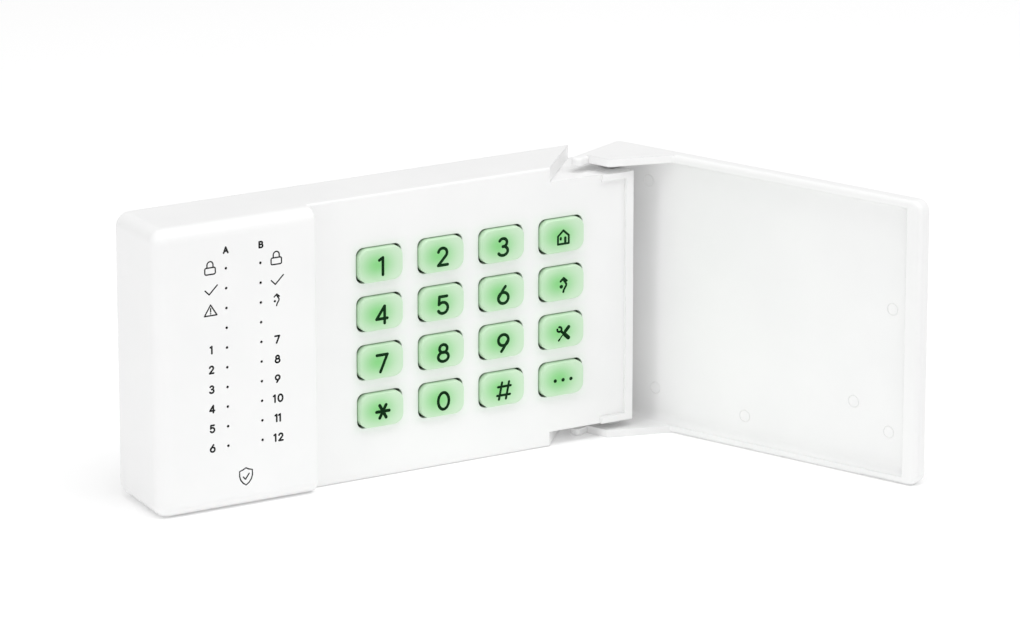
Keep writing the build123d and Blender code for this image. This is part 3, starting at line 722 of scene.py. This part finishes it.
GLYPHS: dict[str, list[Stroke]] = {
    "0": ring(0.12, 0.0, 1.5, 2.17),
    "1": lines((-0.55, 1.62), (0.42, 2.17), (0.42, -2.17)),
    "2": pen(*arc(0.0, 0.95, 1.22, 1.22, 165, -40), (-1.25, -2.17))
    + lines((-1.25, -2.17), (1.38, -2.17)),
    "3": pen(*arc(-0.05, 1.12, 1.1, 1.05, 150, -90))
    + pen(*arc(-0.1, -1.02, 1.38, 1.15, 90, -150)),
    "4": lines((0.8, 2.17), (-1.42, -0.98), (1.55, -0.98)) + lines((0.82, 2.17), (0.82, -2.17)),
    "5": lines((1.15, 2.17), (-0.95, 2.17), (-1.08, 0.22))
    + pen(*arc(-0.02, -0.75, 1.42, 1.42, 138, -150)),
    "6": ring(0.02, -0.75, 1.42, 1.42)
    + pen((0.6, 2.17), (-0.02, 1.4), (-0.62, 0.5), (-1.12, -0.22), (-1.36, -0.6)),
    "7": lines((-1.4, 2.17), (1.5, 2.17), (-0.45, -2.17)),
    "8": ring(0.1, 1.15, 1.08, 1.02) + ring(0.1, -0.98, 1.45, 1.19),
    "9": ring(0.02, 0.75, 1.42, 1.42)
    + pen((-0.55, -2.17), (0.05, -1.4), (0.65, -0.5), (1.15, 0.22), (1.38, 0.6)),
    "star": lines((-1.6, 0.0), (1.9, 0.0), weight=1.08)
    + lines((-0.72, 1.6), (1.05, -1.62), weight=1.08)
    + lines((1.05, 1.6), (-0.72, -1.62), weight=1.08),
    "hash": lines((-0.35, 2.15), (-1.25, -2.15), weight=0.82)
    + lines((1.65, 2.15), (0.75, -2.15), weight=0.82)
    + lines((-1.5, 1.1), (2.1, 1.1), weight=0.82)
    + lines((-1.75, -1.15), (1.9, -1.15), weight=0.82),
    "home": lines((0.05, 1.8), (-1.5, 0.4), (-1.5, -1.65), (1.6, -1.65), (1.6, 0.4), (0.05, 1.8),
                  weight=0.72)
    + lines((-0.7, -0.1), (-0.7, -0.4), weight=0.8) + lines((0.6, -0.15), (0.6, -1.5), weight=0.9),
    "bypass": lines((-0.7, 1.1), (0.15, 1.85), (1.0, 1.1), weight=0.78)
    + pen((0.15, 1.75), (0.32, 1.15), (0.72, 0.6), (0.93, 0.2), (0.85, -0.2), (0.45, -0.8),
          (0.18, -1.25), (0.08, -1.75), weight=0.75)
    + dot(-0.52, -0.3, 1.25),
    "setup": pen(*arc(-1.02, 1.05, 0.62, 0.62, 172, 458), weight=0.72)
    + lines((-0.5, 0.52), (0.3, -0.25), weight=0.9)
    + lines((0.3, -0.25), (1.55, -1.42), weight=1.35)
    + lines((0.72, 0.4), (1.62, 1.38), weight=1.2) + lines((0.6, 0.3), (-1.0, -1.6), weight=0.42)
    + lines((-0.95, -1.55), (-1.2, -1.85), weight=0.65),
    "menu": dot(-2.2, 0.15, 1.2) + dot(0.07, 0.15, 1.2) + dot(2.35, 0.15, 1.2),
    "A": lines((-1.6, -2.0), (0.0, 2.0), (1.6, -2.0)) + lines((-1.1, -0.75), (1.1, -0.75)),
    "B": lines((-1.2, 2.0), (-1.2, -2.0))
    + pen((-1.2, 2.0), *arc(0.2, 1.05, 0.95, 0.95, 90, -90), (-1.2, 0.1))
    + pen((-1.2, 0.1), *arc(0.35, -0.95, 1.05, 1.05, 90, -90), (-1.2, -2.0)),
    "lock": frame_line(1.42, -0.95, 0.74, 0.42)
    + pen((-0.82, 0.74), *arc(0.0, 1.42, 0.82, 0.86, 180, 0), (0.82, 0.74)),
    "check": lines((-1.42, 0.08), (-0.32, -1.0), (1.88, 1.16)),
    "warning": lines((0.0, 1.38), (-1.68, -1.3), (1.68, -1.3), (0.0, 1.38))
    + lines((0.0, 0.5), (0.0, -0.35)) + dot(0.0, -0.82, 1.1),
    "shield": [Stroke(((0.0, 2.2), (-0.8, 1.78), (-1.75, 1.5), (-1.75, 0.2), (-1.45, -0.8),
                       (-0.8, -1.65), (0.0, -2.2), (0.8, -1.65), (1.45, -0.8), (1.75, 0.2),
                       (1.75, 1.5), (0.8, 1.78)), 1.0, True)]
    + lines((-0.75, -0.05), (-0.15, -0.7), (0.85, 0.65)),
}


@dataclass
class Pen:
    """Draws glyphs as thin raised ink on a face that looks to the front.

    Args:
        width: Width of a plain stroke, in millimetres.
        ink: Height of the ink, in millimetres.
    """

    width: float
    ink: float = 0.03

    def spline(self, curve: bpy.types.Curve, stroke: Stroke, placed: Placed) -> None:
        """Add one stroke to a curve, with a round cap on each open end.

        Args:
            curve: The curve's data.
            stroke: The stroke.
            placed: The glyph that it belongs to, with its scale and place.
        """
        _, scale, x, z = placed
        points = [(Vector((x + scale * a, 0.0, z + scale * b)), stroke.weight)
                  for a, b in stroke.path]
        if not stroke.closed:
            points = self.cap(points[0], points[1])[::-1] + points + self.cap(
                points[-1], points[-2])
        line = curve.splines.new("POLY")
        line.points.add(len(points) - 1)
        line.use_cyclic_u = stroke.closed
        for target, (place, radius) in zip(line.points, points):
            target.co = (*place, 1.0)
            target.radius = radius

    def cap(self, end: tuple[Vector, float],
            inner: tuple[Vector, float]) -> list[tuple[Vector, float]]:
        """Points that round off one end of a stroke.

        Args:
            end: Its last point and its weight.
            inner: The point before it.

        Returns:
            Points beyond the end, narrowing to nothing.
        """
        place, weight = end
        outward = (place - inner[0]).normalized() * (weight * self.width / 2)
        return [(place + outward * t, weight * math.sqrt(1.0 - t * t)) for t in CAP_SHARES]

    def draw(self, name: str, glyphs: list[Placed], face_y: float) -> bpy.types.Object:
        """Make one piece of print.

        Args:
            name: Name of the piece.
            glyphs: The glyphs, each with its scale and place.
            face_y: The face that it is printed on, in metres.

        Returns:
            The piece, as a mesh at the origin.
        """
        curve = bpy.data.curves.new(name, "CURVE")
        curve.dimensions = "3D"
        curve.bevel_depth = self.width / 2
        curve.bevel_resolution = 2
        curve.use_fill_caps = True
        for placed in glyphs:
            for stroke in GLYPHS[placed[0]]:
                self.spline(curve, stroke, placed)
        carrier = bpy.data.objects.new(name + "_line", curve)
        bpy.context.scene.collection.objects.link(carrier)
        bpy.context.view_layer.update()
        rough = bpy.data.meshes.new_from_object(carrier.evaluated_get(
            bpy.context.evaluated_depsgraph_get()))
        bpy.data.objects.remove(carrier)
        shape = bmesh.new()
        shape.from_mesh(rough)
        bmesh.ops.remove_doubles(shape, verts=shape.verts, dist=JOIN_DISTANCE)
        flat = Matrix.Diagonal((MM, MM * 2.0 * self.ink / self.width, MM)).to_4x4()
        bmesh.ops.transform(shape, matrix=Matrix.Translation(FRONT * -face_y) @ flat,
                            verts=shape.verts)
        bmesh.ops.recalc_face_normals(shape, faces=shape.faces)
        return finished(name, shape)


def finished(name: str, shape: bmesh.types.BMesh) -> bpy.types.Object:
    """Turn a bmesh into a smooth-shaded object at the origin.

    Args:
        name: Name of the piece.
        shape: Its shape, in metres, which is freed.

    Returns:
        The object, linked to the scene.
    """
    mesh = bpy.data.meshes.new(name)
    shape.to_mesh(mesh)
    shape.free()
    for face in mesh.polygons:
        face.use_smooth = True
    piece = bpy.data.objects.new(name, mesh)
    bpy.context.scene.collection.objects.link(piece)
    return piece


def dress(piece: bpy.types.Object, material: bpy.types.Material) -> None:
    """Put one material on a whole piece.

    Args:
        piece: The piece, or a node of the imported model.
        material: The material.
    """
    piece.data.materials.clear()
    piece.data.materials.append(material)
    log.info("dressed %s in %s", piece.name, material.name)


# ---- sub-assemblies

KEY_NAMES = ("1", "2", "3", "home", "4", "5", "6", "bypass",
             "7", "8", "9", "setup", "star", "0", "hash", "menu")


def node_middle(node: str) -> Vector:
    """Middle of a node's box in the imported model."""
    low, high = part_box(node)
    return (low + high) / 2


@dataclass
class KeyGrid:
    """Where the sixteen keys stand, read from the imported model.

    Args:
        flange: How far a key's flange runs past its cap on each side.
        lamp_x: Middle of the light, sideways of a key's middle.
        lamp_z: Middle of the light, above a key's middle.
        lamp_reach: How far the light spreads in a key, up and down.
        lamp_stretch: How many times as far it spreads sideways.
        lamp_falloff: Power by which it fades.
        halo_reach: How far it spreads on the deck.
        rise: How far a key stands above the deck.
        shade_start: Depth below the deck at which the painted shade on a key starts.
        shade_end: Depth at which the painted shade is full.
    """

    flange: float = 0.001
    lamp_x: float = -0.0011
    lamp_z: float = 0.00015
    lamp_reach: float = 0.0060
    lamp_stretch: float = 1.3
    lamp_falloff: float = 1.15
    halo_reach: float = 0.0032
    rise: float = 0.0014
    shade_start: float = 0.0001
    shade_end: float = 0.0012
    columns: Row = field(init=False)
    rows: Row = field(init=False)
    cap_width: float = field(init=False)
    cap_height: float = field(init=False)
    deck_y: float = field(init=False)

    def __post_init__(self) -> None:
        """Read the corner keys."""
        low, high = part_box("key_1")
        first, last = node_middle("key_1"), node_middle("key_menu")
        self.columns, self.rows = Row(first.x, last.x, 4), Row(first.z, last.z, 4)
        self.cap_width = high.x - low.x - 2 * self.flange
        self.cap_height = high.z - low.z - 2 * self.flange
        self.deck_y = low.y + self.rise


@dataclass
class PinholeGrid:
    """Where the two columns of pinholes are, read from the lamps behind them.

    Args:
        count: Number of pinholes in a column.
        margin_x: From the lamps' outer side to the middle of their column.
        margin_z: From the lamps' top to the middle of the top pinhole.
        radius: Radius of full painted shade, which covers a pinhole's wall.
        reach: Radius at which the painted shade has faded out.
        mouth: Depth over which a pinhole's wall takes on the painted shade.
    """

    count: int = 10
    margin_x: float = 0.0008
    margin_z: float = 0.0004
    radius: float = 0.00055
    reach: float = 0.0008
    mouth: float = 0.0003
    face: float = field(init=False)
    columns: Row = field(init=False)
    rows: Row = field(init=False)

    def __post_init__(self) -> None:
        """Read the lamps and the face in front of them."""
        low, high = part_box("indicator_lamps")
        self.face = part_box("front_housing")[0].y
        self.columns = Row(low.x + self.margin_x, high.x - self.margin_x, 2)
        self.rows = Row(high.z - self.margin_z, low.z + self.margin_z, self.count)


@dataclass
class SubAssembly:
    """Pieces that are dressed and detailed together.

    Args:
        shop: Where finishes are made.
    """

    shop: FinishShop

    def dress_nodes(self, **finishes: Finish) -> None:
        """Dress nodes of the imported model, given a finish for each node's name."""
        for node, finish in finishes.items():
            dress(frame["nodes"][node], self.shop.material(finish))


@dataclass
class KeyField(SubAssembly):
    """The keys, their printed legends, and the mat and lamps under them.

    Args:
        stroke: Width of a legend's lines, in millimetres.
        drop: How far a legend's middle lies below its key's, in millimetres.
    """

    stroke: float = 0.80
    drop: float = 0.40

    def build(self) -> None:
        """Dress the keys and print them."""
        for name in KEY_NAMES:
            self.dress_nodes(**{"key_" + name: KEY})
            self.print_key(name)
        self.dress_nodes(keypad_mat=MAT, backlight_lamps=LAMP_LIT)

    def print_key(self, name: str) -> None:
        """Print one key's legend on its face.

        Args:
            name: The key's name, which is its glyph's name too.
        """
        node = "key_" + name
        place, top = node_middle(node) / MM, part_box(node)[0].y
        glyph = (name, 1.0, place.x, place.z - self.drop)
        piece = Pen(self.stroke).draw("legend_" + node, [glyph], top)
        dress(piece, self.shop.material(GREEN_INK))
        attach(piece, node)


@dataclass
class IndicatorBlock(SubAssembly):
    """The print round the two columns of pinholes, and what lies behind them.

    Args:
        digit_scale: Scale of the small numbers.
        header_scale: Scale of the column letters.
        bypass_scale: Scale of the bypass icon.
        icon_gap: From a column of pinholes to the middle of its icons, in millimetres.
        header_rise: From the top pinholes to the column letters, in millimetres.
        header_shift: How far the right letter stands to the right, in millimetres.
        bypass_shift: How far the bypass icon stands to the left, in millimetres.
        shield_drop: From the bottom pinholes to the shield, in millimetres.
        ink: Height of the ink, in millimetres.
        letter_line: Width of the column letters' lines, in millimetres.
        icon_line: Width of the icons' lines.
        bypass_line: Width of the bypass icon's lines.
        number_line: Width of the small numbers' lines.
        pair_shifts: How far the two digits of a number stand from its middle, by the last digit.
    """

    digit_scale: float = 0.405
    header_scale: float = 0.36
    bypass_scale: float = 0.80
    icon_gap: float = 4.3
    header_rise: float = 4.6
    header_shift: float = 0.15
    bypass_shift: float = 0.1
    shield_drop: float = 8.6
    ink: float = 0.02
    letter_line: float = 0.46
    icon_line: float = 0.36
    bypass_line: float = 0.50
    number_line: float = 0.48
    pair_shifts: tuple[Point, ...] = ((-0.95, 0.65), (-0.55, 0.4), (-0.9, 0.68))

    def build(self) -> None:
        """Print the block and dress the lamps and the baffle."""
        pins = self.shop.pinholes
        letter_left, letter_right = pins.columns.first / MM, pins.columns.last / MM
        left, right = letter_left - self.icon_gap, letter_right + self.icon_gap
        header_z = self.row(0) + self.header_rise
        shield_z = self.row(pins.count - 1) - self.shield_drop
        self.put("print_headers", self.letter_line,
                 [("A", self.header_scale, letter_left, header_z),
                  ("B", self.header_scale, letter_right + self.header_shift, header_z)])
        self.put("print_icons_left", self.icon_line, self.icons(left, "lock", "check", "warning"))
        self.put("print_icons_right", self.icon_line, self.icons(right, "lock", "check"))
        self.put("print_bypass", self.bypass_line,
                 [("bypass", self.bypass_scale, right - self.bypass_shift, self.row(2))])
        self.put("print_numbers_left", self.number_line,
                 [self.digit(str(n), left, n + 3) for n in range(1, 7)])
        self.put("print_numbers_right", self.number_line, self.right_numbers(right))
        self.put("print_shield", self.icon_line,
                 [("shield", 1.0, pins.columns.middle / MM, shield_z)])
        self.dress_nodes(indicator_lamps=LAMP, lamp_baffle=BLACK)

    def row(self, index: int) -> float:
        """Height of a row of pinholes, in millimetres."""
        rows = self.shop.pinholes.rows
        return (rows.first - index * rows.pitch) / MM

    def icons(self, x: float, *names: str) -> list[Placed]:
        """Icons down a column, from the top row."""
        return [(name, 1.0, x, self.row(index)) for index, name in enumerate(names)]

    def digit(self, name: str, x: float, row: int) -> Placed:
        """One small number beside a row."""
        return name, self.digit_scale, x, self.row(row)

    def right_numbers(self, x: float) -> list[Placed]:
        """Numbers 7 to 12, the last three with two digits.

        Args:
            x: Middle of the column of numbers, in millimetres.

        Returns:
            The glyphs.
        """
        numbers = [self.digit(str(n), x, n - 3) for n in (7, 8, 9)]
        for ones, (tens_shift, ones_shift) in enumerate(self.pair_shifts):
            numbers += [self.digit("1", x + tens_shift, ones + 7),
                        self.digit(str(ones), x + ones_shift, ones + 7)]
        return numbers

    def put(self, name: str, width: float, glyphs: list[Placed]) -> None:
        """Print one group of glyphs on the block.

        Args:
            name: Name of the piece.
            width: Width of its lines, in millimetres.
            glyphs: The glyphs, each with its scale and place.
        """
        piece = Pen(width, self.ink).draw(name, glyphs, self.shop.pinholes.face)
        dress(piece, self.shop.material(BLACK_INK))
        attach(piece, "housing")


@dataclass
class SwingDoor(SubAssembly):
    """The door, with the faint rings that its mould's ejector pins leave inside.

    Args:
        open_angle: How far it stands open at rest, in degrees.
        inner_y: Its inner face when it is shut.
        pin_radius: Radius of an ejector pin.
        pin_line: Width of the ring that it leaves.
        pin_rise: Height of that ring.
        pins: The pins' places on the inner face when it is shut, as x and z.
    """

    open_angle: float = 114.0
    inner_y: float = -0.0202
    pin_radius: float = 0.0016
    pin_line: float = 0.00022
    pin_rise: float = 0.00005
    pins: tuple[Point, ...] = (
        (0.0580, 0.0280), (0.0555, -0.0262), (0.0280, -0.0285), (-0.0150, -0.0245),
        (-0.0045, -0.0185), (-0.0155, 0.0073),
    )

    def build(self) -> None:
        """Dress the door and add the rings."""
        self.dress_nodes(door=CASE)
        shape = bmesh.new()
        for x, z in self.pins:
            self.add_ring(shape, Vector((x, self.inner_y, z)))
        hinge = next(j for j in frame["joints"] if j["name"] == "door_hinge")
        turn = Matrix.Rotation(math.radians(self.open_angle), 3, "Z")
        bmesh.ops.rotate(shape, verts=shape.verts, cent=Vector(hinge["pos_m"]), matrix=turn)
        bmesh.ops.recalc_face_normals(shape, faces=shape.faces)
        piece = finished("door_pin_marks", shape)
        dress(piece, self.shop.material(CASE))
        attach(piece, "door")

    def add_ring(self, shape: bmesh.types.BMesh, place: Vector) -> None:
        """Add one low ring, spun round a pin's middle on the shut door.

        Args:
            shape: The bmesh that it joins.
            place: The pin's middle on the inner face.
        """
        outer, inner = self.pin_radius, self.pin_radius - self.pin_line
        middle, shoulder = (outer + inner) / 2, self.pin_rise / 2
        section = [(outer, -self.pin_rise), (outer, shoulder), (middle, self.pin_rise),
                   (inner, shoulder), (inner, -self.pin_rise)]
        corners = [shape.verts.new(place + Vector((r, h, 0.0))) for r, h in section]
        edges = [shape.edges.new((a, b)) for a, b in zip(corners, corners[1:] + corners[:1])]
        bmesh.ops.spin(shape, geom=corners + edges, cent=place, axis=(0.0, 1.0, 0.0),
                       angle=math.tau, steps=40, use_merge=True)


class Housing(SubAssembly):
    """The front housing, the wall plate and the screw that locks them together."""

    def build(self) -> None:
        """Dress the mouldings and the screw."""
        self.dress_nodes(front_housing=DECK, wall_plate=CASE, cover_screw=STEEL)


class Electronics(SubAssembly):
    """The circuit board and everything on its back."""

    def build(self) -> None:
        """Dress every part."""
        self.dress_nodes(
            main_board=BOARD, board_screws=STEEL, terminal_block=GREEN, terminal_screws=STEEL,
            terminal_clamps=BRASS, buzzer=BLACK, tamper_switch=BLACK, tamper_plunger=PLUNGER,
            tamper_spring=SPRING, microcontroller=EPOXY, voltage_regulator=EPOXY,
            capacitors=CAN, address_header=HEADER, address_jumper=JUMPER)


# ---- studio

@dataclass(frozen=True)
class Softbox:
    """A rectangular light that faces the panel.

    Args:
        name: Name of the light.
        azimuth: Degrees round from the front, to the right.
        elevation: Degrees up.
        distance: From the panel, in metres.
        width: Its width, in metres.
        height: Its height, in metres.
        radiance: Brightness of its face, where a white floor in full light is about 1.
    """

    name: str
    azimuth: float
    elevation: float
    distance: float
    width: float
    height: float
    radiance: float

    def build(self, target: Vector) -> None:
        """Hang the light and turn it to the target.

        Args:
            target: The point that it faces.
        """
        around, up = math.radians(self.azimuth), math.radians(self.elevation)
        way = Vector((math.sin(around) * math.cos(up), -math.cos(around) * math.cos(up),
                      math.sin(up)))
        data = bpy.data.lights.new(self.name, "AREA")
        data.shape = "RECTANGLE"
        data.size, data.size_y = self.width, self.height
        data.energy = self.radiance * math.pi * self.width * self.height
        light = bpy.data.objects.new(self.name, data)
        light.location = target + way * self.distance
        light.rotation_euler = way.to_track_quat("Z", "Y").to_euler()
        bpy.context.scene.collection.objects.link(light)
        log.info("light %s", self.name)


SOFTBOXES = (
    Softbox("side_strip", -72.0, 45.0, 1.5, 0.3, 0.9, 2.25),
    Softbox("low_side_strip", -81.0, 22.0, 1.5, 0.3, 0.6, 3.2),
    Softbox("front_softbox", -12.0, 25.0, 2.2, 1.4, 1.2, 0.45),
    Softbox("top_softbox", 0.0, 80.0, 1.6, 1.2, 1.2, 2.6),
    Softbox("right_strip", 50.0, 45.0, 1.8, 0.6, 0.25, 8.5),
)


@dataclass
class Studio:
    """Floor, lights and camera.

    Args:
        sky: Brightness of the white room round the set.
        floor_glow: Light of the floor itself, which keeps it white.
        floor_radius: Radius of the floor.
        floor_colors: The two tones that the floor drifts between.
        floor_roughness: Roughness of the floor.
        camera_place: Where the camera stands.
        camera_turn: Degrees that it is turned from +Y, to the right.
        camera_dip: Degrees that it looks down.
        lens: Focal length in millimetres.
        film: Width of the film in millimetres.
    """

    sky: float = 0.512
    floor_glow: float = 0.14
    floor_radius: float = 4.0
    floor_colors: tuple[Color, Color] = ((0.93, 0.93, 0.93), (0.925, 0.925, 0.926))
    floor_roughness: float = 0.75
    camera_place: tuple[float, float, float] = (-0.67980, -1.27178, 0.43852)
    camera_turn: float = 29.556
    camera_dip: float = 16.969
    lens: float = 213.52
    film: float = 36.0

    def build(self) -> None:
        """Set up the whole studio."""
        bpy.context.scene.view_settings.view_transform = "Standard"
        self.room()
        self.floor()
        for softbox in SOFTBOXES:
            softbox.build((CAD_BOX[0] + CAD_BOX[1]) / 2)
        self.camera()

    def room(self) -> None:
        """White surroundings."""
        world = bpy.data.worlds.new("white_room")
        bpy.context.scene.world = world
        world.use_nodes = True
        background = world.node_tree.nodes["Background"]
        background.inputs["Color"].default_value = (1.0, 1.0, 1.0, 1.0)
        background.inputs["Strength"].default_value = self.sky

    def floor(self) -> None:
        """Wide pale floor under the lowest point of the panel."""
        shape = bmesh.new()
        bmesh.ops.create_circle(shape, cap_ends=True, radius=self.floor_radius, segments=96)
        bmesh.ops.translate(shape, verts=shape.verts, vec=Vector((0.0, 0.0, CAD_BOX[0].z)))
        piece = finished("floor", shape)
        material = bpy.data.materials.new("floor_paper")
        material.use_nodes = True
        sheet = NodeSheet(material.node_tree)
        shader = material.node_tree.nodes["Principled BSDF"]
        place = sheet.node("ShaderNodeTexCoord").outputs["Object"]
        tone = sheet.step(sheet.noise(place, 9.0), 0.3, 0.7)
        sheet.feed(shader.inputs["Base Color"], sheet.blend(tone, *self.floor_colors))
        shader.inputs["Roughness"].default_value = self.floor_roughness
        shader.inputs["Emission Color"].default_value = (1.0, 1.0, 1.0, 1.0)
        shader.inputs["Emission Strength"].default_value = self.floor_glow
        dress(piece, material)

    def camera(self) -> None:
        """Long lens from the front left, a little above the panel."""
        data = bpy.data.cameras.new("camera")
        data.sensor_width = self.film
        data.lens = self.lens
        data.clip_start, data.clip_end = 0.05, 30.0
        camera = bpy.data.objects.new("camera", data)
        camera.location = self.camera_place
        camera.rotation_euler = (math.radians(90.0 - self.camera_dip), 0.0,
                                 math.radians(-self.camera_turn))
        bpy.context.scene.collection.objects.link(camera)
        bpy.context.scene.camera = camera


def main() -> None:
    """Build the sub-assemblies in order, then the studio."""
    logging.basicConfig(level=logging.INFO, format="%(message)s")
    shop = FinishShop(SharedEffects(KeyGrid()), PinholeGrid())
    Housing(shop).build()
    KeyField(shop).build()
    IndicatorBlock(shop).build()
    SwingDoor(shop).build()
    Electronics(shop).build()
    Studio().build()


if __name__ == "__main__":
    main()
